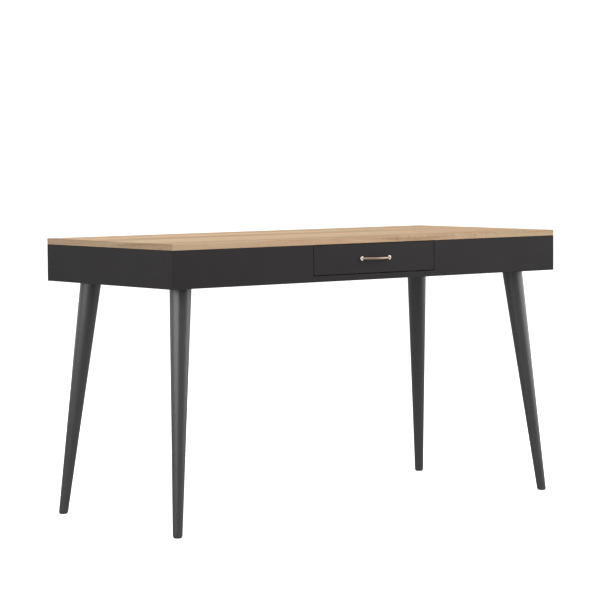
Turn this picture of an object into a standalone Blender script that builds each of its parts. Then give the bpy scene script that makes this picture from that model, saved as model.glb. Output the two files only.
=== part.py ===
"""Writing desk with one drawer.

An oak-faced top lies on a box of charcoal apron boards. Four turned legs splay out under the corners,
and the drawer runs on a pair of ball-bearing slides. Metres, +Z up, the front towards -Y, and the
origin on the floor under the middle of the box around the desk and its handle.
"""

import math

import bmesh
import bpy
from mathutils import Matrix, Vector

# Pieces that touch keep this gap, so that each stays a closed solid of its own.
GAP = 0.0003

# The whole desk
WIDTH = 1.340
DEPTH = 0.580
HEIGHT = 0.750
BOARD = 0.016
APRON_HEIGHT = 0.099
EASED_EDGE = 0.0006

# The legs: turned cones, cut level at both ends
FOOT_INSET_X = 0.025
FOOT_INSET_Y = 0.023
SPLAY = 0.060
LEG_RADIUS_TOP = 0.0283
LEG_RADIUS_FOOT = 0.0126
LEG_SIDES = 48
RAIL_WIDTH = 0.150
RAIL_LIFT = 0.006
PLATE_SIZE = 0.070
PLATE_THICK = 0.0025
PLATE_HOLE_INSET = 0.007
PLATE_HOLE_RADIUS = 0.0022
BOLT_RADIUS = 0.004
BOLT_IN_LEG = 0.036
BOLT_ABOVE_LEG = 0.014
GLIDE_RADIUS = 0.011
GLIDE_THICK = 0.0025
NAIL_RADIUS = 0.0012
NAIL_LENGTH = 0.012

# The drawer and the opening that it closes
OPENING_WIDTH = 0.426
STRIP_HEIGHT = 0.016
REVEAL = 0.002
DRAWER_DEPTH = 0.400
BOX_BOARD = 0.012
BOX_HEIGHT = 0.060
BOX_LIFT = 0.008
BOTTOM_THICK = 0.003
BOTTOM_LIFT = 0.007
GROOVE_DEPTH = 0.005
STRETCHER_WIDTH = 0.080
STOP_SIZE = (0.024, 0.012, 0.008)
STOP_X = 0.150

# The slides: two C channels and an inner rail, with balls between them
SLIDE_LENGTH = 0.400
SLIDE_THICK = 0.0127
SLIDE_LIFT = 0.029
SLIDE_SETBACK = 0.002
SHEET = 0.0012
OUTER_HALF_HEIGHT = 0.0175
MIDDLE_HALF_HEIGHT = 0.0131
INNER_HALF_HEIGHT = 0.0087
OUTER_FLANGE_END = 0.0095
MIDDLE_WEB_START = 0.0027
MIDDLE_FLANGE_END = 0.0092
INNER_FLANGE_START = 0.0049
CAGE_LENGTH = 0.160
CAGE_SHEET = 0.0006
CAGE_FLANGE = 0.0052
BALL_RADIUS = 0.0013
BALLS_PER_ROW = 4

# The handle: a bar bent to one arc, standing on two round rosettes
HANDLE_PITCH = 0.096
HANDLE_RISE = 0.025
BAR_RADIUS = 0.003
ROSETTE_RADIUS = 0.006
ROSETTE_THICK = 0.003
SCREW_RADIUS = 0.002
SCREW_HEAD_RADIUS = 0.004
SCREW_HEAD_THICK = 0.0025
SCREW_BITE = 0.0022

# The steel brackets inside the apron box
BRACKET_ARM = 0.035
BRACKET_WIDTH = 0.020
BRACKET_SHEET = 0.002
BRACKET_DROP = 0.040
TOP_BRACKET_X = 0.380
TOP_BRACKET_ARM = 0.025

# Planes that follow from the sizes above
SIDE = WIDTH / 2
CENTRE_Y = (HANDLE_RISE + BAR_RADIUS) / 2
FRONT = CENTRE_Y - DEPTH / 2
BACK = CENTRE_Y + DEPTH / 2
TOP_UNDERSIDE = HEIGHT - BOARD
APRON_TOP = TOP_UNDERSIDE - GAP
APRON_BOTTOM = TOP_UNDERSIDE - APRON_HEIGHT
RAIL_BOTTOM = APRON_BOTTOM + RAIL_LIFT
PLATE_TOP = RAIL_BOTTOM - GAP
PLATE_BOTTOM = PLATE_TOP - PLATE_THICK
LEG_TOP = PLATE_BOTTOM - GAP
LEG_FOOT = GLIDE_THICK + GAP
OPENING_SIDE = OPENING_WIDTH / 2
OPENING_BOTTOM = APRON_BOTTOM + STRIP_HEIGHT
FRONT_BOTTOM = OPENING_BOTTOM + REVEAL
FRONT_TOP = TOP_UNDERSIDE - REVEAL
HANDLE_Z = (FRONT_BOTTOM + FRONT_TOP) / 2
BOX_SIDE = OPENING_SIDE - SLIDE_THICK
BOX_BOTTOM = FRONT_BOTTOM + BOX_LIFT
BOX_TOP = BOX_BOTTOM + BOX_HEIGHT
BOX_FRONT = FRONT + BOARD + GAP
BOX_BACK = FRONT + BOARD + DRAWER_DEPTH
PANEL_BOTTOM = BOX_BOTTOM + BOTTOM_LIFT
PANEL_TOP = PANEL_BOTTOM + BOTTOM_THICK
SLIDE_Z = BOX_BOTTOM + SLIDE_LIFT
SLIDE_MIDDLE_Y = FRONT + BOARD + SLIDE_SETBACK + SLIDE_LENGTH / 2
ROSETTE_FACE = FRONT - GAP - ROSETTE_THICK

SIDES = (("left", -1), ("right", 1))
CORNERS = (("front_left", -1, -1), ("front_right", 1, -1), ("back_left", -1, 1), ("back_right", 1, 1))

# Colour, roughness and metallic value of each finish
FINISHES = {
    "oak_veneer": ((0.60, 0.43, 0.27), 0.50, 0.0),
    "charcoal_lacquer": ((0.037, 0.036, 0.037), 0.75, 0.0),
    "leg_lacquer": ((0.060, 0.060, 0.062), 0.35, 0.0),
    "drawer_board": ((0.55, 0.54, 0.52), 0.60, 0.0),
    "zinc_steel": ((0.62, 0.62, 0.60), 0.35, 1.0),
    "rose_gold": ((0.72, 0.45, 0.34), 0.22, 1.0),
    "ball_cage": ((0.25, 0.25, 0.26), 0.45, 1.0),
    "black_rubber": ((0.03, 0.03, 0.03), 0.80, 0.0),
}


def clear_scene():
    """Start from an empty scene, with a collection for the pieces and one for the cutters."""
    for old in list(bpy.data.objects):
        bpy.data.objects.remove(old, do_unlink=True)
    for name in ("writing_desk", "cutters"):
        bpy.context.scene.collection.children.link(bpy.data.collections.new(name))


def make_finishes():
    """One Principled BSDF material for each finish."""
    for name, (colour, roughness, metallic) in FINISHES.items():
        finish = bpy.data.materials.new(name)
        finish.use_nodes = True
        shader = finish.node_tree.nodes["Principled BSDF"]
        shader.inputs["Base Color"].default_value = (*colour, 1.0)
        shader.inputs["Roughness"].default_value = roughness
        shader.inputs["Metallic"].default_value = metallic


def make_body(name, place):
    """An empty that the pieces of one rigid body hang from."""
    body = bpy.data.objects.new(name, None)
    body.empty_display_size = 0.05
    body.location = place
    bpy.data.collections["writing_desk"].objects.link(body)
    return body


def add_piece(name, mesh, body, finish, matrix=None):
    """A named piece of the desk, at its place in the world and hanging from its body."""
    mesh.name = name
    mesh.materials.clear()
    mesh.materials.append(bpy.data.materials[finish])
    piece = bpy.data.objects.new(name, mesh)
    bpy.data.collections["writing_desk"].objects.link(piece)
    piece.parent = body
    piece.matrix_parent_inverse = Matrix.Translation(body.location).inverted()
    piece.matrix_basis = matrix or Matrix()
    return piece


def add_cutter(name, mesh, matrix=None):
    """A shape that only cuts or joins, and is never part of the desk."""
    cutter = bpy.data.objects.new(name, mesh)
    bpy.data.collections["cutters"].objects.link(cutter)
    cutter.matrix_basis = matrix or Matrix()
    cutter.hide_render = True
    cutter.display_type = "WIRE"
    return cutter


def combine(piece, tool, operation="DIFFERENCE"):
    """Cut a piece with a tool, or join them."""
    boolean = piece.modifiers.new(tool.name, "BOOLEAN")
    boolean.operation = operation
    boolean.object = tool


def ease_edges(piece, width=EASED_EDGE):
    """Take the sharp edges off a piece."""
    bevel = piece.modifiers.new("eased_edges", "BEVEL")
    bevel.width = width
    bevel.segments = 1
    bevel.limit_method = "ANGLE"
    bevel.angle_limit = math.radians(40)


def box_mesh(name, low, high):
    """A box between two corners."""
    low, high = Vector(low), Vector(high)
    shape = bmesh.new()
    bmesh.ops.create_cube(shape, size=1.0)
    bmesh.ops.scale(shape, vec=high - low, verts=shape.verts)
    bmesh.ops.translate(shape, vec=(low + high) / 2, verts=shape.verts)
    return finish_mesh(name, shape)


def cylinder_mesh(name, radius, low, high, sides=24):
    """A cylinder along Z between two heights."""
    shape = bmesh.new()
    bmesh.ops.create_cone(
        shape, cap_ends=True, segments=sides, radius1=radius, radius2=radius, depth=high - low
    )
    bmesh.ops.translate(shape, vec=(0, 0, (low + high) / 2), verts=shape.verts)
    return finish_mesh(name, shape)


def finish_mesh(name, shape):
    """Turn a bmesh into a mesh."""
    mesh = bpy.data.meshes.new(name)
    shape.to_mesh(mesh)
    shape.free()
    return mesh


def mesh_of_curve(name, curve):
    """The closed mesh of a curve, with its caps welded on and its faces pointing out."""
    guide = bpy.data.objects.new(name + "_curve", curve)
    bpy.data.collections["cutters"].objects.link(guide)
    bpy.context.view_layer.update()
    evaluated = guide.evaluated_get(bpy.context.evaluated_depsgraph_get())
    mesh = bpy.data.meshes.new_from_object(evaluated)
    bpy.data.objects.remove(guide)
    shape = bmesh.new()
    shape.from_mesh(mesh)
    bmesh.ops.remove_doubles(shape, verts=shape.verts, dist=0.00001)
    bmesh.ops.recalc_face_normals(shape, faces=shape.faces)
    shape.to_mesh(mesh)
    shape.free()
    mesh.name = name
    return mesh


def plate_mesh(name, points, thickness):
    """A flat outline in the XY plane, thickened evenly along Z."""
    curve = bpy.data.curves.new(name, "CURVE")
    curve.dimensions = "2D"
    curve.fill_mode = "BOTH"
    curve.extrude = thickness / 2
    spline = curve.splines.new("POLY")
    spline.points.add(len(points) - 1)
    for spot, (x, y) in zip(spline.points, points):
        spot.co = (x, y, 0, 1)
    spline.use_cyclic_u = True
    return mesh_of_curve(name, curve)


def bar_mesh(name, points, radius):
    """A round bar along a list of points."""
    curve = bpy.data.curves.new(name, "CURVE")
    curve.dimensions = "3D"
    curve.bevel_depth = radius
    curve.bevel_resolution = 4
    curve.use_fill_caps = True
    spline = curve.splines.new("POLY")
    spline.points.add(len(points) - 1)
    for spot, place in zip(spline.points, points):
        spot.co = (*place, 1)
    return mesh_of_curve(name, curve)


def turned_piece(name, profile, body, finish, matrix, sides=32):
    """A turned piece, from a profile of radius and height that runs down its outer side."""
    mesh = bpy.data.meshes.new(name)
    edges = [(i, i + 1) for i in range(len(profile) - 1)]
    mesh.from_pydata([(radius, 0, height) for radius, height in profile], edges, [])
    piece = add_piece(name, mesh, body, finish, matrix)
    screw = piece.modifiers.new("turning", "SCREW")
    screw.axis = "Z"
    screw.angle = math.tau
    screw.steps = sides
    screw.render_steps = sides
    screw.use_merge_vertices = True
    screw.merge_threshold = 0.00001
    return piece


def board(name, body, finish, low, high):
    """A straight board with eased edges."""
    piece = add_piece(name, box_mesh(name, low, high), body, finish)
    ease_edges(piece)
    return piece


def spread(sign, inner, outer):
    """The low and high X of something that lies on one side of the middle."""
    return sorted((sign * inner, sign * outer))


# The apron box and the top


def make_top(body):
    """The oak-faced top, flush with the apron all round."""
    board("top_panel", body, "oak_veneer", (-SIDE, FRONT, TOP_UNDERSIDE), (SIDE, BACK, HEIGHT))


def make_long_apron(name, body, sign):
    """A front or back apron board, mitred at both ends."""
    back_off = GAP / math.sqrt(2)
    outer_y = CENTRE_Y + sign * DEPTH / 2
    inner_y = outer_y - sign * BOARD
    outer_x = SIDE - back_off
    inner_x = outer_x - BOARD
    outline = [(-outer_x, outer_y), (outer_x, outer_y), (inner_x, inner_y), (-inner_x, inner_y)]
    return make_apron_board(name, body, outline)


def make_side_apron(name, body, sign):
    """A side apron board, mitred at both ends."""
    half_outer = DEPTH / 2 - GAP / math.sqrt(2)
    half_inner = half_outer - BOARD
    outer_x = sign * SIDE
    inner_x = sign * (SIDE - BOARD)
    outline = [
        (outer_x, CENTRE_Y - half_outer),
        (outer_x, CENTRE_Y + half_outer),
        (inner_x, CENTRE_Y + half_inner),
        (inner_x, CENTRE_Y - half_inner),
    ]
    return make_apron_board(name, body, outline)


def make_apron_board(name, body, outline):
    """An apron board of the given outline in plan."""
    height = APRON_TOP - APRON_BOTTOM
    mesh = plate_mesh(name, outline, height)
    middle = Matrix.Translation((0, 0, APRON_BOTTOM + height / 2))
    piece = add_piece(name, mesh, body, "charcoal_lacquer", middle)
    ease_edges(piece)
    return piece


def make_aprons(body):
    """Four mitred boards; the front one is notched for the drawer."""
    front = make_long_apron("front_apron", body, -1)
    low = (-OPENING_SIDE, FRONT - BOARD, OPENING_BOTTOM)
    high = (OPENING_SIDE, FRONT + 2 * BOARD, HEIGHT)
    combine(front, add_cutter("drawer_notch", box_mesh("drawer_notch", low, high)))
    make_long_apron("back_apron", body, 1)
    for side, sign in SIDES:
        make_side_apron(side + "_apron", body, sign)


def make_inner_boards(body):
    """The dividers that carry the slides, the stretcher under the drawer and the rails over the legs."""
    inner_front = FRONT + BOARD + GAP
    inner_back = BACK - BOARD - GAP
    for side, sign in SIDES:
        x_low, x_high = spread(sign, OPENING_SIDE, OPENING_SIDE + BOARD)
        low = (x_low, inner_front, APRON_BOTTOM)
        high = (x_high, inner_back, APRON_TOP)
        board("drawer_divider_" + side, body, "charcoal_lacquer", low, high)
        make_leg_rail(body, side, sign, inner_front, inner_back)
    low = (-OPENING_SIDE + GAP, inner_front, APRON_BOTTOM)
    high = (OPENING_SIDE - GAP, inner_front + STRETCHER_WIDTH, OPENING_BOTTOM)
    board("drawer_stretcher", body, "charcoal_lacquer", low, high)


def make_leg_rail(body, side, sign, front, back):
    """A flat board across the desk's end, with clearance holes over the leg bolts."""
    outer = SIDE - BOARD - GAP
    x_low, x_high = spread(sign, outer - RAIL_WIDTH, outer)
    low = (x_low, front, RAIL_BOTTOM)
    high = (x_high, back, RAIL_BOTTOM + BOARD)
    rail = board("leg_rail_" + side, body, "charcoal_lacquer", low, high)
    for corner, sign_x, sign_y in CORNERS:
        if sign_x != sign:
            continue
        hole = cylinder_mesh("rail_hole", 0.007, RAIL_BOTTOM - 0.01, RAIL_BOTTOM + BOARD + 0.01)
        place = Matrix.Translation(leg_centre(sign_x, sign_y, RAIL_BOTTOM + BOARD / 2, level=0))
        combine(rail, add_cutter("rail_hole_" + corner, hole, place))


# The legs


def leg_centre(sign_x, sign_y, height, level=None):
    """The point of a leg's axis at a height; level gives another Z to the point."""
    lean = SPLAY * height / APRON_BOTTOM
    x = sign_x * (SIDE - FOOT_INSET_X - lean)
    y = CENTRE_Y + sign_y * (DEPTH / 2 - FOOT_INSET_Y - lean)
    return Vector((x, y, height if level is None else level))


def leg_frame(sign_x, sign_y):
    """The matrix of a leg: its origin on the floor, its Z up the leg's axis."""
    foot = leg_centre(sign_x, sign_y, 0)
    axis = leg_centre(sign_x, sign_y, APRON_BOTTOM) - foot
    turn = Vector((0, 0, 1)).rotation_difference(axis).to_matrix().to_4x4()
    return Matrix.Translation(foot) @ turn


def make_leg(body, corner, sign_x, sign_y):
    """A turned tapered leg, cut level at both ends and bored for its bolt and its glide's nail."""
    length = (leg_centre(1, 1, APRON_BOTTOM) - leg_centre(1, 1, 0)).length
    taper = (LEG_RADIUS_TOP - LEG_RADIUS_FOOT) / length
    spare = 0.012
    top_radius = LEG_RADIUS_TOP + taper * spare
    foot_radius = LEG_RADIUS_FOOT - taper * spare
    profile = [(0, length + spare), (top_radius, length + spare), (foot_radius, -spare), (0, -spare)]
    frame = leg_frame(sign_x, sign_y)
    leg = turned_piece("leg_" + corner, profile, body, "leg_lacquer", frame, LEG_SIDES)
    foot = leg_centre(sign_x, sign_y, 0)
    low = foot + Vector((-0.15, -0.15, LEG_FOOT))
    high = foot + Vector((0.15, 0.15, LEG_TOP))
    combine(leg, add_cutter("leg_ends_" + corner, box_mesh("leg_ends", low, high)), "INTERSECT")
    bolt_top = LEG_TOP / math.cos(leg_tilt())
    bolt_hole = cylinder_mesh("bolt_hole", BOLT_RADIUS + GAP, bolt_top - BOLT_IN_LEG - GAP, bolt_top + 0.02)
    combine(leg, add_cutter("bolt_hole_" + corner, bolt_hole, frame))
    nail_hole = cylinder_mesh("nail_hole", NAIL_RADIUS + GAP, -0.01, GLIDE_THICK + NAIL_LENGTH + GAP, 12)
    combine(leg, add_cutter("nail_hole_" + corner, nail_hole, Matrix.Translation(foot)))


def leg_tilt():
    """The angle between a leg's axis and the vertical."""
    return math.atan2(math.hypot(SPLAY, SPLAY), APRON_BOTTOM)


def make_leg_plate(body, corner, sign_x, sign_y):
    """A steel plate under the rail, with a bolt hole and four screw holes."""
    centre = leg_centre(sign_x, sign_y, PLATE_TOP)
    half = Vector((PLATE_SIZE / 2, PLATE_SIZE / 2, 0))
    low = centre - half - Vector((0, 0, PLATE_THICK))
    plate = add_piece("leg_plate_" + corner, box_mesh("leg_plate", low, centre + half), body, "zinc_steel")
    reach = PLATE_SIZE / 2 - PLATE_HOLE_INSET
    spots = [(0, 0, BOLT_RADIUS + 0.0006)]
    spots += [(dx * reach, dy * reach, PLATE_HOLE_RADIUS) for dx in (-1, 1) for dy in (-1, 1)]
    shape = bmesh.new()
    for x, y, radius in spots:
        place = Matrix.Translation(centre + Vector((x, y, 0)))
        bmesh.ops.create_cone(
            shape, cap_ends=True, segments=16, radius1=radius, radius2=radius, depth=0.02, matrix=place
        )
    combine(plate, add_cutter("plate_holes_" + corner, finish_mesh("plate_holes", shape)))


def make_leg_bolt(body, corner, sign_x, sign_y):
    """A hanger bolt along the leg's axis: pointed below, chamfered above."""
    start = LEG_TOP / math.cos(leg_tilt())
    top = start + BOLT_ABOVE_LEG
    point = start - BOLT_IN_LEG
    profile = [
        (0, top),
        (BOLT_RADIUS - 0.001, top),
        (BOLT_RADIUS, top - 0.001),
        (BOLT_RADIUS, point + 0.008),
        (0.001, point),
        (0, point),
    ]
    turned_piece("leg_bolt_" + corner, profile, body, "zinc_steel", leg_frame(sign_x, sign_y), 16)


def make_foot_glide(body, corner, sign_x, sign_y):
    """A nail-on glide: a rounded disc on the floor, with its nail up into the leg."""
    profile = [
        (0, GLIDE_THICK + NAIL_LENGTH),
        (NAIL_RADIUS, GLIDE_THICK + NAIL_LENGTH - 0.002),
        (NAIL_RADIUS, GLIDE_THICK),
        (GLIDE_RADIUS - 0.0004, GLIDE_THICK),
        (GLIDE_RADIUS, GLIDE_THICK - 0.0004),
        (GLIDE_RADIUS, 0.0008),
        (GLIDE_RADIUS - 0.0008, 0),
        (0, 0),
    ]
    place = Matrix.Translation(leg_centre(sign_x, sign_y, 0))
    turned_piece("foot_glide_" + corner, profile, body, "black_rubber", place, 24)


def make_legs(body):
    """Four legs, each with its plate, bolt and glide."""
    for corner in CORNERS:
        make_leg(body, *corner)
        make_leg_plate(body, *corner)
        make_leg_bolt(body, *corner)
        make_foot_glide(body, *corner)


# The steel brackets


def angle_outline(arm):
    """The L-shaped section of a bracket, its outer corner a gap away from the origin."""
    near = GAP
    sheet = GAP + BRACKET_SHEET
    end = GAP + arm
    return [(near, near), (end, near), (end, sheet), (sheet, sheet), (sheet, end), (near, end)]


def make_corner_brackets(body):
    """Upright angles that tie the apron boards together in the corners."""
    for corner, sign_x, sign_y in CORNERS:
        inner_x = SIDE - BOARD
        inner_y = DEPTH / 2 - BOARD
        outline = [
            (sign_x * (inner_x - a), CENTRE_Y + sign_y * (inner_y - b)) for a, b in angle_outline(BRACKET_ARM)
        ]
        mesh = plate_mesh("corner_bracket", outline, BRACKET_WIDTH)
        place = Matrix.Translation((0, 0, APRON_TOP - BRACKET_DROP))
        add_piece("corner_bracket_" + corner, mesh, body, "zinc_steel", place)


def make_top_brackets(body):
    """Angles under the top, two on the front apron and two on the back one."""
    for corner, sign_x, sign_y in CORNERS:
        inner_y = CENTRE_Y + sign_y * (DEPTH / 2 - BOARD)
        outline = [(-a, -b) for a, b in angle_outline(TOP_BRACKET_ARM)]
        mesh = plate_mesh("top_bracket", outline, BRACKET_WIDTH)
        away = Vector((0, sign_y, 0))
        up = Vector((0, 0, 1))
        turn = Matrix((away, up, away.cross(up))).transposed().to_4x4()
        place = Matrix.Translation((sign_x * TOP_BRACKET_X, inner_y, TOP_UNDERSIDE)) @ turn
        add_piece("top_bracket_" + corner, mesh, body, "zinc_steel", place)


# The slides


def slide_frame(sign, forward=0.0):
    """The matrix of a slide: X from the divider towards the drawer, Y up, Z along the slide."""
    inward = Vector((-sign, 0, 0))
    up = Vector((0, 0, 1))
    turn = Matrix((inward, up, inward.cross(up))).transposed().to_4x4()
    return Matrix.Translation((sign * OPENING_SIDE, SLIDE_MIDDLE_Y - forward, SLIDE_Z)) @ turn


def channel_outline(web_start, flange_end, half_height, sheet):
    """A C-shaped section whose web stands at web_start and whose flanges reach flange_end."""
    inner = half_height - sheet
    toward = 1 if flange_end > web_start else -1
    web_end = web_start + toward * sheet
    return [
        (web_start, -half_height),
        (flange_end, -half_height),
        (flange_end, -inner),
        (web_end, -inner),
        (web_end, inner),
        (flange_end, inner),
        (flange_end, half_height),
        (web_start, half_height),
    ]


def make_slide_member(name, body, sign, outline):
    """One rolled steel member of a slide."""
    mesh = plate_mesh(name, outline, SLIDE_LENGTH)
    add_piece(name, mesh, body, "zinc_steel", slide_frame(sign))


def make_ball_cage(name, body, sign, web_start, track):
    """A sheet cage with a row of balls above and one below, running at the track's height."""
    half_height = track + CAGE_SHEET / 2
    outline = channel_outline(web_start, web_start + CAGE_FLANGE, half_height, CAGE_SHEET)
    cage = add_piece(name, plate_mesh(name, outline, CAGE_LENGTH), body, "ball_cage", slide_frame(sign))
    pitch = CAGE_LENGTH / BALLS_PER_ROW
    shape = bmesh.new()
    for row in (-1, 1):
        for count in range(BALLS_PER_ROW):
            along = (count - (BALLS_PER_ROW - 1) / 2) * pitch
            place = Matrix.Translation((web_start + CAGE_FLANGE - BALL_RADIUS, row * track, along))
            bmesh.ops.create_icosphere(shape, subdivisions=2, radius=BALL_RADIUS, matrix=place)
    balls = finish_mesh(name + "_balls", shape)
    combine(cage, add_cutter(name + "_balls", balls, slide_frame(sign)), "UNION")


def make_slides(frame_body, drawer_body):
    """Both slides, each nested closed: outer channel, middle channel, inner rail and two cages."""
    outer = channel_outline(GAP, OUTER_FLANGE_END, OUTER_HALF_HEIGHT, SHEET)
    middle = channel_outline(MIDDLE_WEB_START, MIDDLE_FLANGE_END, MIDDLE_HALF_HEIGHT, SHEET)
    inner = channel_outline(SLIDE_THICK - GAP, INNER_FLANGE_START, INNER_HALF_HEIGHT, SHEET)
    outer_track = (OUTER_HALF_HEIGHT - SHEET + MIDDLE_HALF_HEIGHT) / 2
    inner_track = (MIDDLE_HALF_HEIGHT - SHEET + INNER_HALF_HEIGHT) / 2
    outer_cage_web = GAP + SHEET + GAP
    middle_web_end = MIDDLE_WEB_START + SHEET
    inner_cage_web = (middle_web_end + INNER_FLANGE_START - CAGE_SHEET) / 2
    for side, sign in SIDES:
        place = slide_frame(sign).translation
        make_slide_member("slide_outer_" + side, frame_body, sign, outer)
        middle_body = make_body(f"slide_middle_{side}_body", place)
        make_slide_member("slide_middle_" + side, middle_body, sign, middle)
        make_slide_member("slide_inner_" + side, drawer_body, sign, inner)
        outer_cage_body = make_body(f"outer_cage_{side}_body", place)
        make_ball_cage("outer_cage_" + side, outer_cage_body, sign, outer_cage_web, outer_track)
        inner_cage_body = make_body(f"inner_cage_{side}_body", place)
        make_ball_cage("inner_cage_" + side, inner_cage_body, sign, inner_cage_web, inner_track)


# The drawer


def groove_cutter(name, low, high):
    """The cutter of a groove that holds the drawer's bottom panel."""
    return add_cutter(name, box_mesh(name, low, high))


def make_drawer_front(body):
    """The drawer's front, grooved for the bottom panel and bored for the handle's screws."""
    low = (-OPENING_SIDE + REVEAL, FRONT, FRONT_BOTTOM)
    high = (OPENING_SIDE - REVEAL, FRONT + BOARD, FRONT_TOP)
    front = board("drawer_front", body, "charcoal_lacquer", low, high)
    inner = BOX_SIDE - BOX_BOARD + GROOVE_DEPTH + GAP
    low = (-inner, FRONT + BOARD - GROOVE_DEPTH - GAP, PANEL_BOTTOM - GAP)
    high = (inner, FRONT + BOARD + 0.01, PANEL_TOP + GAP)
    combine(front, groove_cutter("front_groove", low, high))
    for side, sign in SIDES:
        hole = cylinder_mesh("handle_hole", SCREW_RADIUS + GAP, -2 * BOARD, 2 * BOARD, 16)
        combine(front, add_cutter("handle_hole_" + side, hole, handle_frame(sign)))


def make_drawer_box(body):
    """The drawer's sides, back and bottom; the bottom slides in under the back."""
    inner = BOX_SIDE - BOX_BOARD
    for side, sign in SIDES:
        x_low, x_high = spread(sign, inner, BOX_SIDE)
        low = (x_low, BOX_FRONT, BOX_BOTTOM)
        high = (x_high, BOX_BACK, BOX_TOP)
        piece = board("drawer_side_" + side, body, "drawer_board", low, high)
        x_low, x_high = spread(sign, inner - 0.01, inner + GROOVE_DEPTH + GAP)
        low = (x_low, BOX_FRONT - 0.01, PANEL_BOTTOM - GAP)
        high = (x_high, BOX_BACK + 0.01, PANEL_TOP + GAP)
        combine(piece, groove_cutter("side_groove_" + side, low, high))
    low = (-inner + GAP, BOX_BACK - BOX_BOARD, PANEL_TOP + GAP)
    board("drawer_back", body, "drawer_board", low, (inner - GAP, BOX_BACK, BOX_TOP))
    reach = inner + GROOVE_DEPTH
    low = (-reach, FRONT + BOARD - GROOVE_DEPTH, PANEL_BOTTOM)
    panel = box_mesh("drawer_bottom", low, (reach, BOX_BACK, PANEL_TOP))
    add_piece("drawer_bottom", panel, body, "drawer_board")


def make_drawer_stops(body):
    """Rubber stops on the stretcher, which the drawer's front meets as it shuts."""
    for side, sign in SIDES:
        width, depth, height = STOP_SIZE
        low = (sign * STOP_X - width / 2, FRONT + BOARD + GAP, OPENING_BOTTOM + GAP)
        high = (sign * STOP_X + width / 2, low[1] + depth, low[2] + height)
        piece = add_piece("drawer_stop_" + side, box_mesh("drawer_stop", low, high), body, "black_rubber")
        ease_edges(piece, 0.001)


# The handle


def handle_frame(sign):
    """The matrix of one of the handle's feet: the origin in the drawer's face, Z out of it."""
    turn = Matrix.Rotation(math.radians(90), 4, "X")
    return Matrix.Translation((sign * HANDLE_PITCH / 2, FRONT, HANDLE_Z)) @ turn


def make_handle_bow(body):
    """The bent bar: one arc from rosette to rosette, its ends cut flat against them."""
    half = HANDLE_PITCH / 2
    rise = HANDLE_RISE - (FRONT - ROSETTE_FACE)
    radius = (half**2 + rise**2) / (2 * rise)
    centre_y = ROSETTE_FACE - rise + radius
    spare = math.radians(8)
    sweep = math.asin(half / radius) + spare
    steps = 28
    points = []
    for step in range(steps + 1):
        angle = sweep * (2 * step / steps - 1)
        points.append((radius * math.sin(angle), centre_y - radius * math.cos(angle), HANDLE_Z))
    bow = add_piece("handle_bow", bar_mesh("handle_bow", points, BAR_RADIUS), body, "rose_gold")
    low = (-HANDLE_PITCH, ROSETTE_FACE - GAP, HANDLE_Z - BOARD)
    high = (HANDLE_PITCH, FRONT + 2 * BOARD, HANDLE_Z + BOARD)
    combine(bow, add_cutter("handle_ends", box_mesh("handle_ends", low, high)))


def make_handle_feet(body):
    """A rosette and a screw for each end of the bow."""
    for side, sign in SIDES:
        frame = handle_frame(sign)
        face = GAP + ROSETTE_THICK
        edge = 0.0008
        profile = [
            (0, face),
            (ROSETTE_RADIUS - edge, face),
            (ROSETTE_RADIUS, face - edge),
            (ROSETTE_RADIUS, GAP),
            (0, GAP),
        ]
        rosette = turned_piece("handle_rosette_" + side, profile, body, "rose_gold", frame)
        hole = cylinder_mesh("rosette_hole", SCREW_RADIUS + GAP, -0.01, SCREW_BITE + 2 * GAP, 16)
        combine(rosette, add_cutter("rosette_hole_" + side, hole, frame))
        seat = -BOARD - GAP
        profile = [
            (0, SCREW_BITE + GAP),
            (SCREW_RADIUS, SCREW_BITE + GAP),
            (SCREW_RADIUS, seat),
            (SCREW_HEAD_RADIUS, seat),
            (SCREW_HEAD_RADIUS, seat - SCREW_HEAD_THICK / 2),
            (SCREW_HEAD_RADIUS - 0.0015, seat - SCREW_HEAD_THICK),
            (0, seat - SCREW_HEAD_THICK),
        ]
        turned_piece("handle_screw_" + side, profile, body, "zinc_steel", frame, 16)


def shade_pieces():
    """Round surfaces are smooth; edges sharper than 35 degrees stay crisp."""
    for piece in bpy.data.collections["writing_desk"].objects:
        if piece.type == "MESH" and piece.data.polygons:
            piece.data.shade_smooth()
            piece.data.set_sharp_from_angle(angle=math.radians(35))


def main():
    """Build the desk."""
    clear_scene()
    make_finishes()
    desk = make_body("desk_frame", (0, CENTRE_Y, 0))
    drawer = make_body("drawer", (0, FRONT, HANDLE_Z))
    make_top(desk)
    make_aprons(desk)
    make_inner_boards(desk)
    make_legs(desk)
    make_corner_brackets(desk)
    make_top_brackets(desk)
    make_slides(desk, drawer)
    make_drawer_front(drawer)
    make_drawer_box(drawer)
    make_drawer_stops(desk)
    make_handle_bow(drawer)
    make_handle_feet(drawer)
    shade_pieces()


main()
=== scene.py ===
"""The looks of the writing desk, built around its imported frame.

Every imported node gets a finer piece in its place: boards with soft edges and edge bands, turned legs,
rolled slides with raceways and balls, pressed plates, screws and cam locks. Metres, the front towards -Y.
"""

import math

import bmesh
import bpy
from mathutils import Matrix, Vector


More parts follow.
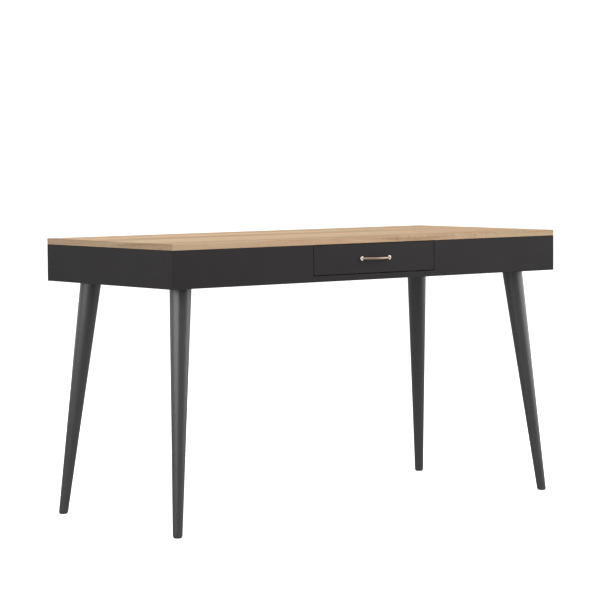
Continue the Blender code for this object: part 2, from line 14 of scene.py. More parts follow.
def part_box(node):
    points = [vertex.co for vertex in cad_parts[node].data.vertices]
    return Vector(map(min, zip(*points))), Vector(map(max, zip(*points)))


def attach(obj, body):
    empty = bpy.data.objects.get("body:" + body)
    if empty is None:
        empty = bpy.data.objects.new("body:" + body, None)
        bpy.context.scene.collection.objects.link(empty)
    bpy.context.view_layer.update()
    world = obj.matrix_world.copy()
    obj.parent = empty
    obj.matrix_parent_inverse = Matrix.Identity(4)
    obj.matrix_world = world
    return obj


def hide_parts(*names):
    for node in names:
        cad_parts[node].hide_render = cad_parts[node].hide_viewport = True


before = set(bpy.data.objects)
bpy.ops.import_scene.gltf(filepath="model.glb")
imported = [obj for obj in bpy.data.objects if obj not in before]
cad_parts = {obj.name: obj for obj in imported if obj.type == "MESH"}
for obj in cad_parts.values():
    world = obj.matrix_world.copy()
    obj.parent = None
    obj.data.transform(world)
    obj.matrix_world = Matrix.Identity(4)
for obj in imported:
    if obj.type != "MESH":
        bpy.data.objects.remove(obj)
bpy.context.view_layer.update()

UP = Vector((0, 0, 1))
SIDES = (("left", -1), ("right", 1))
CORNERS = (("front_left", -1, -1), ("front_right", 1, -1), ("back_left", -1, 1), ("back_right", 1, 1))

# Planes of the frame that several pieces share
TOP_LOW, TOP_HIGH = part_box("top_panel")
APRON_LOW, APRON_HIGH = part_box("front_apron")
BOARD = TOP_HIGH.z - TOP_LOW.z
MIDDLE_Y = (TOP_LOW.y + TOP_HIGH.y) / 2


# Shapes


def new_mesh(name, shape):
    """Turn a bmesh into a mesh with outward faces."""
    bmesh.ops.recalc_face_normals(shape, faces=shape.faces)
    mesh = bpy.data.meshes.new(name)
    shape.to_mesh(mesh)
    shape.free()
    return mesh


def new_object(name, data):
    """A new object in the scene."""
    made = bpy.data.objects.new(name, data)
    bpy.context.scene.collection.objects.link(made)
    return made


def add_piece(name, mesh, body, slot, *nodes, crisp=50):
    """A visible piece that rides on a body, has a slot's finish and stands for CAD nodes.

    Crisp is the angle in degrees above which an edge stays sharp.
    """
    piece = new_object(name, mesh)
    if not mesh.materials:
        mesh.materials.append(FINISHES[slot])
    mesh.shade_smooth()
    mesh.set_sharp_from_angle(angle=math.radians(crisp))
    normals = piece.modifiers.new("normals", "WEIGHTED_NORMAL")
    normals.keep_sharp = True
    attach(piece, body)
    if nodes:
        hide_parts(*nodes)


def add_steel(name, mesh, body, *nodes):
    """A visible piece of zinc-plated steel, with its rims kept crisp."""
    add_piece(name, mesh, body, "zinc_steel", *nodes, crisp=35)


def box_shape(low, high, edge=0.0008, segments=3):
    """A box between two corners with rounded edges."""
    low, high = Vector(low), Vector(high)
    shape = bmesh.new()
    bmesh.ops.create_cube(shape, size=1.0)
    bmesh.ops.scale(shape, vec=high - low, verts=shape.verts)
    bmesh.ops.translate(shape, vec=(low + high) / 2, verts=shape.verts)
    if edge:
        round_edges(shape, shape.edges, edge, segments)
    return shape


def round_edges(shape, edges, width, segments=3):
    """Round the given edges of a bmesh."""
    bmesh.ops.bevel(
        shape,
        geom=list(edges),
        offset=width,
        segments=segments,
        profile=0.5,
        affect="EDGES",
        clamp_overlap=True,
    )


def prism_shape(outline, height):
    """An outline in the XY plane, extruded evenly along Z."""
    shape = bmesh.new()
    bottom = [shape.verts.new((x, y, -height / 2)) for x, y in outline]
    face = shape.faces.new(bottom)
    risen = bmesh.ops.extrude_face_region(shape, geom=[face])["geom"]
    lifted = [part for part in risen if isinstance(part, bmesh.types.BMVert)]
    bmesh.ops.translate(shape, vec=(0, 0, height), verts=lifted)
    return shape


def level_ring(centre, radius, sides):
    """The points of a level circle about a centre."""
    x, y, z = centre
    angles = [i * math.tau / sides for i in range(sides)]
    return [(x + radius * math.cos(angle), y + radius * math.sin(angle), z) for angle in angles]


def turned_shape(profile, sides):
    """A turned solid about Z, from (radius, height) points; the ends lie on the axis."""
    shape = bmesh.new()
    rings = []
    for radius, height in profile:
        spots = level_ring((0, 0, height), radius, sides) if radius else [(0, 0, height)]
        rings.append([shape.verts.new(spot) for spot in spots])
    for upper, lower in zip(rings, rings[1:]):
        bridge(shape, upper, lower)
    return shape


def bridge(shape, upper, lower):
    """Faces between two rings, either of which may be a single point."""
    sides = max(len(upper), len(lower))
    for i in range(sides):
        j = (i + 1) % sides
        if len(upper) == 1:
            shape.faces.new((upper[0], lower[i], lower[j]))
        elif len(lower) == 1:
            shape.faces.new((upper[i], lower[0], upper[j]))
        else:
            shape.faces.new((upper[i], lower[i], lower[j], upper[j]))


def close_tube(shape, rings):
    """Join a row of equal rings into a closed tube."""
    for first, second in zip(rings, rings[1:]):
        bridge(shape, second, first)
    shape.faces.new(rings[0])
    shape.faces.new(rings[-1])


def arc(centre, radius, start, end, steps):
    """Points on an arc, with angles in degrees."""
    points = []
    for step in range(steps + 1):
        angle = math.radians(start + (end - start) * step / steps)
        points.append((centre[0] + radius * math.cos(angle), centre[1] + radius * math.sin(angle)))
    return points


def rolled_section(path, sheet):
    """The outline of a sheet of even thickness whose middle follows a path."""
    left, right = [], []
    for i, spot in enumerate(path):
        before = Vector(path[max(i - 1, 0)])
        after = Vector(path[min(i + 1, len(path) - 1)])
        along = (after - before).normalized()
        across = Vector((-along.y, along.x)) * sheet / 2
        left.append(tuple(Vector(spot) + across))
        right.append(tuple(Vector(spot) - across))
    return left + right[::-1]


def cut_mesh(name, mesh, tools):
    """Cut a mesh with a list of bmesh shapes and return the new mesh."""
    work = new_object(name, mesh)
    cutters = []
    for tool in tools:
        cutter = new_object(name + "_cutter", new_mesh(name + "_cutter", tool))
        boolean = work.modifiers.new("cut", "BOOLEAN")
        boolean.object = cutter
        cutters.append(cutter)
    bpy.context.view_layer.update()
    result = bpy.data.meshes.new_from_object(work.evaluated_get(bpy.context.evaluated_depsgraph_get()))
    for helper in [work, *cutters]:
        bpy.data.objects.remove(helper)
    result.name = name
    return result


def move(shape, matrix):
    """Move all of a bmesh by a matrix."""
    bmesh.ops.transform(shape, matrix=matrix, verts=shape.verts)


def merged_mesh(name, mesh, places):
    """One mesh that holds a copy of another at each place."""
    shape = bmesh.new()
    for place in places:
        before = len(shape.verts)
        shape.from_mesh(mesh)
        shape.verts.ensure_lookup_table()
        bmesh.ops.transform(shape, matrix=place, verts=shape.verts[before:])
    return new_mesh(name, shape)


def facing(direction, place, spin=0.0):
    """A matrix whose Z points along a direction, at a place."""
    turn = UP.rotation_difference(Vector(direction)).to_matrix().to_4x4()
    return Matrix.Translation(place) @ turn @ Matrix.Rotation(spin, 4, "Z")


def turn_onto(x_axis, y_axis, z_axis):
    """The rotation that takes X, Y and Z onto three given axes."""
    return Matrix((x_axis, y_axis, z_axis)).transposed().to_4x4()


def sharp_corners(shape):
    """The edges of a bmesh where its faces meet at more than a radian."""
    return [edge for edge in shape.edges if edge.calc_face_angle(0) > 1]


# Materials


class Nodes:
    """Builds one procedural material from object coordinates."""

    def __init__(self, name, colour, roughness, metallic=0.0, specular=0.5):
        self.material = bpy.data.materials.new(name)
        self.material.use_nodes = True
        self.tree = self.material.node_tree
        self.shader = self.tree.nodes["Principled BSDF"]
        self.shader.inputs["Base Color"].default_value = (*colour, 1)
        self.shader.inputs["Roughness"].default_value = roughness
        self.shader.inputs["Metallic"].default_value = metallic
        self.shader.inputs["Specular IOR Level"].default_value = specular
        self.place = self.node("TexCoord", {}).outputs["Object"]

    def node(self, kind, values):
        """A new node with some of its input sockets set."""
        made = self.tree.nodes.new("ShaderNode" + kind)
        for socket, value in values.items():
            made.inputs[socket].default_value = value
        return made

    def link(self, source, target):
        """Link an output to an input."""
        self.tree.links.new(source, target)

    def stretched(self, scale):
        """Object coordinates, stretched by a scale for each axis."""
        mapping = self.node("Mapping", {"Scale": scale})
        self.link(self.place, mapping.inputs["Vector"])
        return mapping.outputs["Vector"]

    def noise(self, scale, detail=3.0, rough=0.5):
        """Noise from 0 to 1 with its own scale on each axis, per metre."""
        node = self.node("TexNoise", {"Scale": 1.0, "Detail": detail, "Roughness": rough})
        self.link(self.stretched(scale), node.inputs["Vector"])
        return node.outputs["Fac"]

    def ramp(self, value, stops):
        """Colours or greys along a value; each stop is a position and a colour."""
        node = self.node("ValToRGB", {})
        elements = node.color_ramp.elements
        while len(elements) < len(stops):
            elements.new(0.5)
        for element, (position, colour) in zip(elements, stops):
            element.position = position
            element.color = (*colour, 1) if isinstance(colour, tuple) else (colour, colour, colour, 1)
        self.link(value, node.inputs["Fac"])
        return node.outputs["Color"]

    def mix(self, kind, amount, first, second):
        """Blend two colours; the amount is a number or an output."""
        node = self.node("Mix", {})
        node.data_type = "RGBA"
        node.blend_type = kind
        if isinstance(amount, float):
            node.inputs["Factor"].default_value = amount
        else:
            self.link(amount, node.inputs["Factor"])
        self.link(first, node.inputs["A"])
        self.link(second, node.inputs["B"])
        return node.outputs["Result"]

    def shifted(self, place, start):
        """A place, moved by a fixed step."""
        node = self.node("VectorMath", {1: start})
        self.link(place, node.inputs[0])
        return node.outputs["Vector"]

    def pushed(self, place, value, reach, axes):
        """A place, pushed along some axes by up to a reach as a value goes from 0 to 1."""
        node = self.node("VectorMath", {1: tuple(reach * part for part in axes)})
        node.operation = "MULTIPLY_ADD"
        self.link(value, node.inputs[0])
        self.link(place, node.inputs[2])
        return node.outputs["Vector"]

    def spread(self, value, low, high):
        """Map a 0 to 1 value onto a range."""
        node = self.node("MapRange", {"To Min": low, "To Max": high})
        self.link(value, node.inputs["Value"])
        return node.outputs["Result"]

    def bump(self, height, strength, distance):
        """Add relief to the shader; calls stack up."""
        node = self.node("Bump", {"Strength": strength, "Distance": distance})
        self.link(height, node.inputs["Height"])
        normal = self.shader.inputs["Normal"]
        if normal.links:
            self.link(normal.links[0].from_socket, node.inputs["Normal"])
        self.link(node.outputs["Normal"], normal)

    def set(self, socket, output):
        """Link an output to a named socket of the shader."""
        self.link(output, self.shader.inputs[socket])


ALONG_X, ALONG_Y = 0, 1

# Oak's flame colours from dark to light, and the shades of its growth rings, each with its place on a ramp
OAK_TONES = [
    (0.33, (0.465, 0.305, 0.174)),
    (0.46, (0.560, 0.384, 0.234)),
    (0.57, (0.612, 0.430, 0.270)),
    (0.69, (0.668, 0.490, 0.318)),
]
OAK_RING_SHADES = [(0.33, (0.72, 0.66, 0.60)), (0.47, (0.95, 0.94, 0.93)), (0.66, (1.05, 1.06, 1.07))]


def oak_material(name, grain, start, painted_shade_factor=1.0):
    """Light oak with its figure, its fine texture and a little relief.

    The grain is ALONG_X or ALONG_Y, the way the fibres run. The start picks the piece of the log.
    A factor below 1 darkens every tone: painted shade, for faces that get less light than the top.
    """
    oak = Nodes(name, (0.597, 0.420, 0.275), 0.6, specular=0.25)
    crosswise = [1.0, 1.0, 1.0]
    crosswise[grain] = 0.0

    def along(length, width):
        """Scales per metre along and across the fibres."""
        scale = [width, width, width]
        scale[grain] = length
        return tuple(scale)

    oak.place = oak.shifted(oak.place, start)
    sway = oak.noise(along(0.9, 3.2), 2.0)
    oak.place = oak.pushed(oak.place, sway, 0.09, crosswise)
    colour, rings = oak_figure(oak, along, painted_shade_factor)
    colour, fibres, pores = oak_texture(oak, along, colour, rings)
    oak.set("Base Color", colour)
    oak.set("Roughness", oak.spread(fibres, 0.50, 0.66))
    oak.bump(pores, 0.4, 0.0002)
    oak.bump(fibres, 0.12, 0.0003)
    return oak.material


def oak_figure(oak, along, painted_shade_factor):
    """The broad colour of oak: flames, a drifting hue and growth rings. Gives the colour and the rings."""
    flames = oak.noise(along(0.55, 10))
    # Painted shade: every tone darkened by the factor, for the less lit edge bands
    tones = [(spot, tuple(painted_shade_factor * part for part in tone)) for spot, tone in OAK_TONES]
    colour = oak.ramp(flames, tones)
    hue = oak.noise(along(1.8, 14), 2.0)
    cast = oak.ramp(hue, [(0.38, (1.04, 0.97, 0.94)), (0.62, (0.97, 1.01, 0.97))])
    colour = oak.mix("MULTIPLY", 1.0, colour, cast)
    rings = oak.noise(along(0.45, 85), 4.0, 0.62)
    return oak.mix("MULTIPLY", 0.80, colour, oak.ramp(rings, OAK_RING_SHADES)), rings


def oak_texture(oak, along, colour, rings):
    """Fibres, pores in the early wood and faint saw marks. Gives the colour, the fibres and the pores."""
    fibres = oak.noise(along(5, 520), 3.0, 0.6)
    fibre_shade = oak.ramp(fibres, [(0.32, (0.84, 0.81, 0.78)), (0.52, 1.0), (0.70, (1.05, 1.05, 1.05))])
    colour = oak.mix("MULTIPLY", 0.75, colour, fibre_shade)
    pores = oak.ramp(oak.noise(along(42, 1700), 1.0), [(0.30, (0.50, 0.44, 0.38)), (0.38, 1.0)])
    early_wood = oak.ramp(rings, [(0.40, 0.9), (0.60, 0.25)])
    colour = oak.mix("MULTIPLY", early_wood, colour, pores)
    marks = oak.ramp(oak.noise(along(150, 7), 2.0), [(0.36, (0.78, 0.75, 0.72)), (0.47, 1.0)])
    patches = oak.ramp(oak.noise(along(2.6, 9), 1.0, 0.4), [(0.56, 0.0), (0.68, 0.7)])
    return oak.mix("MULTIPLY", patches, colour, marks), fibres, pores


def charcoal_material():
    """Matt charcoal foil with a fine pearl grain and the faintest mottling."""
    foil = Nodes("charcoal_foil", (0.029, 0.0270, 0.0278), 0.60, specular=0.09)
    mottle = foil.noise((9, 9, 9), 3.0)
    tones = [(0.35, (0.0280, 0.0256, 0.0264)), (0.65, (0.0305, 0.0281, 0.0289))]
    foil.set("Base Color", foil.ramp(mottle, tones))
    pearl = foil.noise((1400, 1400, 1400), 2.0)
    foil.set("Roughness", foil.spread(foil.noise((60, 60, 60), 4.0), 0.56, 0.68))
    foil.bump(pearl, 0.10, 0.0001)
    return foil.material


def leg_material():
    """Dark grey satin lacquer over turned beech: fine lengthwise grain under the film."""
    lacquer = Nodes("leg_lacquer", (0.050, 0.050, 0.052), 0.28, specular=0.5)
    grain = lacquer.noise((260, 260, 7), 4.0, 0.6)
    tones = [(0.35, (0.047, 0.047, 0.049)), (0.65, (0.053, 0.053, 0.0555))]
    lacquer.set("Base Color", lacquer.ramp(grain, tones))
    lacquer.set("Roughness", lacquer.spread(lacquer.noise((90, 90, 12), 3.0), 0.26, 0.36))
    lacquer.bump(grain, 0.08, 0.0002)
    lacquer.bump(lacquer.noise((500, 500, 500), 1.0), 0.04, 0.0001)
    return lacquer.material


def drawer_board_material():
    """Light grey foil with a fine linen weave, as drawer boxes have."""
    linen = Nodes("drawer_linen", (0.50, 0.49, 0.47), 0.6, specular=0.3)
    along = linen.noise((1500, 95, 1500), 2.0)
    across = linen.noise((95, 1500, 95), 2.0)
    weave = linen.mix("MIX", 0.5, along, across)
    tones = [(0.38, (0.465, 0.455, 0.435)), (0.62, (0.535, 0.525, 0.505))]
    linen.set("Base Color", linen.ramp(weave, tones))
    linen.set("Roughness", linen.spread(weave, 0.52, 0.68))
    linen.bump(weave, 0.20, 0.0002)
    return linen.material


def zinc_material():
    """Bright zinc plate: a faint blue and straw bloom, with drawing lines."""
    zinc = Nodes("zinc_plate", (0.62, 0.62, 0.61), 0.32, 1.0)
    bloom = zinc.noise((35, 35, 35), 2.0)
    tones = [(0.35, (0.56, 0.58, 0.61)), (0.55, (0.64, 0.64, 0.63)), (0.72, (0.66, 0.63, 0.56))]
    zinc.set("Base Color", zinc.ramp(bloom, tones))
    lines = zinc.noise((900, 14, 900), 2.0)
    zinc.set("Roughness", zinc.spread(lines, 0.24, 0.42))
    zinc.bump(lines, 0.10, 0.0001)
    return zinc.material


def gold_material(name, tone, roughness):
    """Rose gold plate with very fine buffing lines."""
    gold = Nodes(name, tone, roughness, 1.0)
    buff = gold.noise((60, 1800, 1800), 2.0)
    tint = gold.noise((40, 40, 40), 2.0)
    swing = 0.05
    dull, bright = (tuple(part * share for part in tone) for share in (1 - swing, 1 + swing))
    gold.set("Base Color", gold.ramp(tint, [(0.35, dull), (0.65, bright)]))
    gold.set("Roughness", gold.spread(buff, roughness - swing, roughness + swing))
    gold.bump(buff, 0.05, 0.00005)
    return gold.material


def cage_material():
    """Dull rolled steel of the ball cages, a little oiled."""
    steel = Nodes("cage_steel", (0.34, 0.34, 0.35), 0.38, 1.0)
    cloud = steel.noise((80, 80, 80), 3.0)
    tones = [(0.3, (0.28, 0.28, 0.29)), (0.7, (0.40, 0.40, 0.40))]
    steel.set("Base Color", steel.ramp(cloud, tones))
    steel.set("Roughness", steel.spread(cloud, 0.30, 0.46))
    return steel.material


def rubber_material():
    """Black nylon and rubber with a fine spark-eroded grain."""
    rubber = Nodes("black_rubber", (0.022, 0.022, 0.023), 0.7, specular=0.35)
    grain = rubber.noise((1600, 1600, 1600), 2.0)
    tones = [(0.3, (0.018, 0.018, 0.019)), (0.7, (0.028, 0.028, 0.029))]
    rubber.set("Base Color", rubber.ramp(grain, tones))
    rubber.set("Roughness", rubber.spread(grain, 0.60, 0.78))
    rubber.bump(grain, 0.15, 0.0001)
    return rubber.material


FINISHES = {
    "oak_veneer": oak_material("oak_face", ALONG_X, (-3.03, -2.895, 2.465)),
    "charcoal_lacquer": charcoal_material(),
    "leg_lacquer": leg_material(),
    "drawer_board": drawer_board_material(),
    "zinc_steel": zinc_material(),
    "rose_gold": gold_material("rose_gold_bar", (0.43, 0.315, 0.235), 0.38),
    "ball_cage": cage_material(),
    "black_rubber": rubber_material(),
}

# Finishes of single pieces: copies of their slots' finishes made lighter or darker, with light and shade
# painted into the colour
# The rosettes' gold: the bar's metal, glossier, and paler as a painted highlight
ROSETTE_GOLD_HIGHLIT = gold_material("rose_gold_rosette", (0.60, 0.52, 0.46), 0.22)
# Edge band oak darkened as painted shade: the side bands most, the front and back bands a little
OAK_SIDE_BAND_SHADED = oak_material("oak_side_band_shaded", ALONG_Y, (2.70, 1.76, -1.46), 0.78)
OAK_FRONT_BAND_SHADED = oak_material("oak_front_band_shaded", ALONG_X, (-0.90, 1.39, -1.07), 0.90)


# The top

BAND = 0.001
BAND_EDGE = 0.0004
BAND_SEAM = 0.00005


def make_top():
    """The faced board, and its four edge bands a hair's breadth off it."""
    inset = Vector((BAND + BAND_SEAM, BAND + BAND_SEAM, 0))
    face = box_shape(TOP_LOW + inset, TOP_HIGH - inset, edge=0.0002, segments=1)
    add_piece("oak_top", new_mesh("oak_top", face), "desk_frame", "oak_veneer", "top_panel")
    left, right = TOP_LOW.x, TOP_HIGH.x
    front, back = TOP_LOW.y, TOP_HIGH.y
    # The bands on the sides, and those on the front and back, get oak darkened as painted shade
    bands = [
        ("left", (left, front), (left + BAND, back), OAK_SIDE_BAND_SHADED),
        ("right", (right - BAND, front), (right, back), OAK_SIDE_BAND_SHADED),
        ("front", (left + BAND, front), (right - BAND, front + BAND), OAK_FRONT_BAND_SHADED),
        ("back", (left + BAND, back - BAND), (right - BAND, back), OAK_FRONT_BAND_SHADED),
    ]
    for side, low, high, material in bands:
        name = "edge_band_" + side
        mesh = new_mesh(name, box_shape((*low, TOP_LOW.z), (*high, TOP_HIGH.z), BAND_EDGE))
        mesh.materials.append(material)
        add_piece(name, mesh, "desk_frame", "oak_veneer")


# The apron box

MITRE_LINE = 0.00005
APRON_EDGE = 0.0004


def apron_shape(node, sign_x, sign_y):
    """A mitred apron board: a box whose inner face is a board's thickness shorter at each end.

    The signs say which side of the desk it is on, along X or along Y.
    """
    low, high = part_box(node)
    if sign_y:
        low.x, high.x = TOP_LOW.x + MITRE_LINE, TOP_HIGH.x - MITRE_LINE
    else:
        low.y, high.y = TOP_LOW.y + MITRE_LINE, TOP_HIGH.y - MITRE_LINE
    shape = box_shape(low, high, 0)
    middle = (low + high) / 2
    for vert in shape.verts:
        if sign_y and (vert.co.y - middle.y) * sign_y < 0:
            vert.co.x += BOARD if vert.co.x < middle.x else -BOARD
        if sign_x and (vert.co.x - middle.x) * sign_x < 0:
            vert.co.y += BOARD if vert.co.y < middle.y else -BOARD
    return shape


def make_front_apron():
    """The front apron, notched from above for the drawer, with its corners mitred."""
    notch_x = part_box("drawer_divider_right")[0].x
    notch_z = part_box("drawer_stretcher")[1].z
    end_x = TOP_HIGH.x - MITRE_LINE
    low, high = APRON_LOW.z, APRON_HIGH.z
    half = [(end_x, low), (end_x, high), (notch_x, high), (notch_x, notch_z)]
    shape = prism_shape(half + [(-x, z) for x, z in reversed(half)], BOARD)
    middle_y = APRON_LOW.y + BOARD / 2
    move(shape, Matrix.Translation((0, middle_y, 0)) @ Matrix.Rotation(math.radians(90), 4, "X"))
    for vert in shape.verts:
        if vert.co.y > middle_y and abs(vert.co.x) > APRON_HIGH.x - BOARD / 2:
            vert.co.x -= math.copysign(BOARD, vert.co.x)
    add_apron("front", shape)


def add_apron(side, shape):
    """An apron board with soft edges, in charcoal foil."""
    round_edges(shape, shape.edges, APRON_EDGE)
    name = "apron_" + side
    add_piece(name, new_mesh(name, shape), "desk_frame", "charcoal_lacquer", side + "_apron")


def make_aprons():
    """The four apron boards."""
    make_front_apron()
    for side, sign_x, sign_y in (("back", 0, 1), ("left", -1, 0), ("right", 1, 0)):
        add_apron(side, apron_shape(side + "_apron", sign_x, sign_y))


def make_board(name, node, body, slot, edge=0.0007):
    """A plain board in the place of a CAD node."""
    low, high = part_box(node)
    add_piece(name, new_mesh(name, box_shape(low, high, edge)), body, slot, node)


def make_inner_boards():
    """The dividers, the stretcher under the drawer and the rails over the legs."""
    make_board("stretcher_board", "drawer_stretcher", "desk_frame", "charcoal_lacquer")
    for side, _ in SIDES:
        make_board("divider_board_" + side, "drawer_divider_" + side, "desk_frame", "charcoal_lacquer")
        make_board("leg_rail_board_" + side, "leg_rail_" + side, "desk_frame", "charcoal_lacquer")


# Legs and feet


def leg_axis(corner):
    """The centres of a leg's lower and upper end, and its radii there, from the CAD leg."""
    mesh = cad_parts["leg_" + corner].data
    low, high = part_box("leg_" + corner)
    ends = []
    for height in (low.z, high.z):
        ring = [vert.co for vert in mesh.vertices if abs(vert.co.z - height) < 0.0001]
        left, right = min(spot.x for spot in ring), max(spot.x for spot in ring)
        front, back = min(spot.y for spot in ring), max(spot.y for spot in ring)
        ends.append((Vector(((left + right) / 2, (front + back) / 2, height)), (right - left) / 2))
    return ends


def make_leg(corner):
    """A turned leg, drawn as level rings along its slanting axis, with eased ends."""
    (foot, foot_radius), (top, top_radius) = leg_axis(corner)
    length = top.z - foot.z
    ease = 0.0009
    half_eased = 0.0003
    levels = 24
    stops = [(0.0, ease), (half_eased, ease / 2), (ease, 0.0)]
    stops += [(length * level / levels, 0.0) for level in range(1, levels)]
    stops += [(length - ease, 0.0), (length - half_eased, ease / 2), (length, ease)]
    shape = bmesh.new()
    rings = []
    for rise, shrink in stops:
        part = rise / length
        radius = foot_radius + (top_radius - foot_radius) * part - shrink
        ring = level_ring(foot.lerp(top, part), radius, sides=96)
        rings.append([shape.verts.new(spot) for spot in ring])
    close_tube(shape, rings)
    name = "turned_leg_" + corner
    add_piece(name, new_mesh(name, shape), "desk_frame", "leg_lacquer", "leg_" + corner)


def make_glide(corner):
    """A nylon glide: a rounded rim, a flat sole and its nail up into the leg."""
    low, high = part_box("foot_glide_" + corner)
    radius = (high.x - low.x) / 2
    gap = 0.0003
    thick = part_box("leg_" + corner)[0].z - low.z - gap
    nail = 0.0012
    shoulder, rim = 0.0006, 0.0009
    profile = [(0, high.z), (0.0009, high.z - 0.0016), (nail, high.z - 0.004), (nail, thick)]
    profile += [(radius - rim, thick)]
    profile += arc((radius - shoulder, thick - shoulder), shoulder, 75, 0, 4)
    profile += arc((radius - rim, rim), rim, 0, -80, 4)
    profile += [(radius - rim - gap, 0), (0, 0)]
    shape = turned_shape(profile, 64)
    centre = (low + high) / 2
    bmesh.ops.translate(shape, vec=(centre.x, centre.y, 0), verts=shape.verts)
    name = "nylon_glide_" + corner
    add_piece(name, new_mesh(name, shape), "desk_frame", "black_rubber", "foot_glide_" + corner, crisp=40)


def rounded_square(half, corner):
    """The outline of a square with round corners, from half its side and its corner radius."""
    outline = []
    for quarter in range(4):
        start = 90 * quarter
        sign_x = 1 if quarter in (0, 3) else -1
        sign_y = 1 if quarter in (0, 1) else -1
        centre = (sign_x * (half - corner), sign_y * (half - corner))
        outline += arc(centre, corner, start, start + 90, 8)
    return outline


def is_level(edge):
    """Whether both ends of an edge are at one height."""
    return abs(edge.verts[0].co.z - edge.verts[1].co.z) < 1e-6


def drill(radius, reach):
    """The profile of a plain round hole that reaches as far above Z = 0 as below it."""
    return [(0, reach), (radius, reach), (radius, -reach), (0, -reach)]


def make_leg_plate(corner):
    """A pressed plate with round corners, four countersunk holes and a bolt hole."""
    low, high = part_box("leg_plate_" + corner)
    middle = (low + high) / 2
    half = (high.x - low.x) / 2
    thick = high.z - low.z
    shape = prism_shape(rounded_square(half, 0.008), thick)
    rims = [edge for edge in sharp_corners(shape) if is_level(edge)]
    round_edges(shape, rims, 0.0004, 2)
    spots = [Vector((x, y, 0)) for x in (-0.028, 0.028) for y in (-0.028, 0.028)]
    beyond = 0.004
    sink = [(0, beyond), (0.0021, beyond), (0.0021, -0.0002), (0.0046, -0.0030), (0, -0.0030)]
    tools = []
    for spot in spots:
        tool = turned_shape(sink, 24)
        bmesh.ops.translate(tool, vec=spot, verts=tool.verts)
        tools.append(tool)
    tools.append(turned_shape(drill(0.0046, beyond), 32))
    name = "mounting_plate_" + corner
    mesh = cut_mesh(name, new_mesh(name, shape), tools)
    mesh.transform(Matrix.Translation(middle))
    add_steel(name, mesh, "desk_frame", "leg_plate_" + corner)
    under = middle - Vector((0, 0, thick / 2))
    places = [facing((0, 0, -1), under + spot, i) for i, spot in enumerate(spots)]
    screws = merged_mesh("plate_screws_" + corner, COUNTERSUNK_SCREW, places)
    add_steel("plate_screws_" + corner, screws, "desk_frame")


def make_leg_bolt(corner):
    """A hanger bolt: a fine thread over the leg's top for the plate, and a coarse one down in the wood."""
    (foot, _), (top, _) = leg_axis(corner)
    axis = (top - foot).normalized()
    low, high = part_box("leg_bolt_" + corner)
    above = (high.z - top.z) / axis.z
    below = (top.z - low.z) / axis.z
    crest = 0.0039
    metal_root, metal_pitch = 0.0033, 0.00125
    wood_root, wood_pitch = 0.0030, 0.0026
    end_room = 0.0006
    profile = [(0, above - end_room), (0.0028, above - end_room)]
    height = above - 0.0016
    while height > 0.002:
        profile += [(crest, height), (metal_root, height - 0.0006)]
        height -= metal_pitch
    profile += [(crest, 0.0015), (crest, -0.006)]
    height = -0.0075
    while height > 0.006 - below:
        profile += [(crest, height), (wood_root, height - 0.0012)]
        height -= wood_pitch
    profile += [(0.001, end_room - below), (0, end_room - below)]
    shape = turned_shape(profile, 32)
    move(shape, facing(axis, top))
    name = "hanger_bolt_" + corner
    add_steel(name, new_mesh(name, shape), "desk_frame", "leg_bolt_" + corner)


# Screws


def cross_slot(size, depth, height):
    """The two tools that cut a cross recess, as wide as its size and centred at a height."""
    tools = []
    for turn in (0, 90):
        tool = bmesh.new()
        bmesh.ops.create_cube(tool, size=1.0)
        bmesh.ops.scale(tool, vec=(size, size * 0.26, depth), verts=tool.verts)
        for vert in tool.verts:
            if vert.co.z < 0:
                vert.co.x *= 0.45
        bmesh.ops.rotate(tool, matrix=Matrix.Rotation(math.radians(turn), 3, "Z"), verts=tool.verts)
        bmesh.ops.translate(tool, vec=(0, 0, height), verts=tool.verts)
        tools.append(tool)
    return tools


def cross_headed(name, profile, sides, slot):
    """A turned screw or cam with a cross recess, whose slot is its size, depth and height."""
    return cut_mesh(name, new_mesh(name, turned_shape(profile, sides)), cross_slot(*slot))


def countersunk_screw():
    """A countersunk head with a cross recess, flush with Z = 0, with its shank below."""
    head = [(0, 0.0001), (0.0036, 0.0001), (0.0041, -0.0001), (0.0041, -0.0003)]
    shank = [(0.0018, -0.0023), (0.0018, -0.010), (0.0012, -0.014), (0, -0.015)]
    return cross_headed("countersunk_screw", head + shank, 32, (0.0046, 0.0030, 0))


def pan_screw():
    """A low domed head with a cross recess, standing on Z = 0, with its shank below."""
    head_height = 0.0020
    head = [(0, head_height), (0.0014, 0.0019), (0.0026, 0.0015), (0.0034, 0.0008), (0.0036, 0.0002)]
    shank = [(0.0036, 0), (0.0017, 0), (0.0017, -0.008), (0.0011, -0.011), (0, -0.012)]
    return cross_headed("pan_screw", head + shank, 32, (0.0040, 0.0024, head_height))


def slide_screw():
    """A thin flat head that fits inside a slide, standing on Z = 0, with its shank below."""
    head_height = 0.0007
    head = [(0, head_height), (0.0026, head_height), (0.0032, 0.0004), (0.0033, 0)]
    shank = [(0.0016, 0), (0.0016, -0.009), (0, -0.011)]
    return cross_headed("slide_screw", head + shank, 24, (0.0036, 0.0016, head_height))


def cam_lock(radius):
    """A cam disc with a cross recess, its middle a little proud of Z = 0 and its body sunk below."""
    proud, depth = 0.0002, 0.003
    disc = [(0, proud), (radius - 0.0006, proud), (radius - 0.0004, 0.0), (radius, 0.0), (radius, -depth)]
    return cross_headed("cam_lock", disc + [(0, -depth)], 40, (radius * 0.9, 0.0018, 0))


COUNTERSUNK_SCREW = countersunk_screw()
PAN_SCREW = pan_screw()
SLIDE_SCREW = slide_screw()
BOARD_CAM = cam_lock(0.0075)
DRAWER_CAM = cam_lock(0.006)
CAM_INSET = 0.034


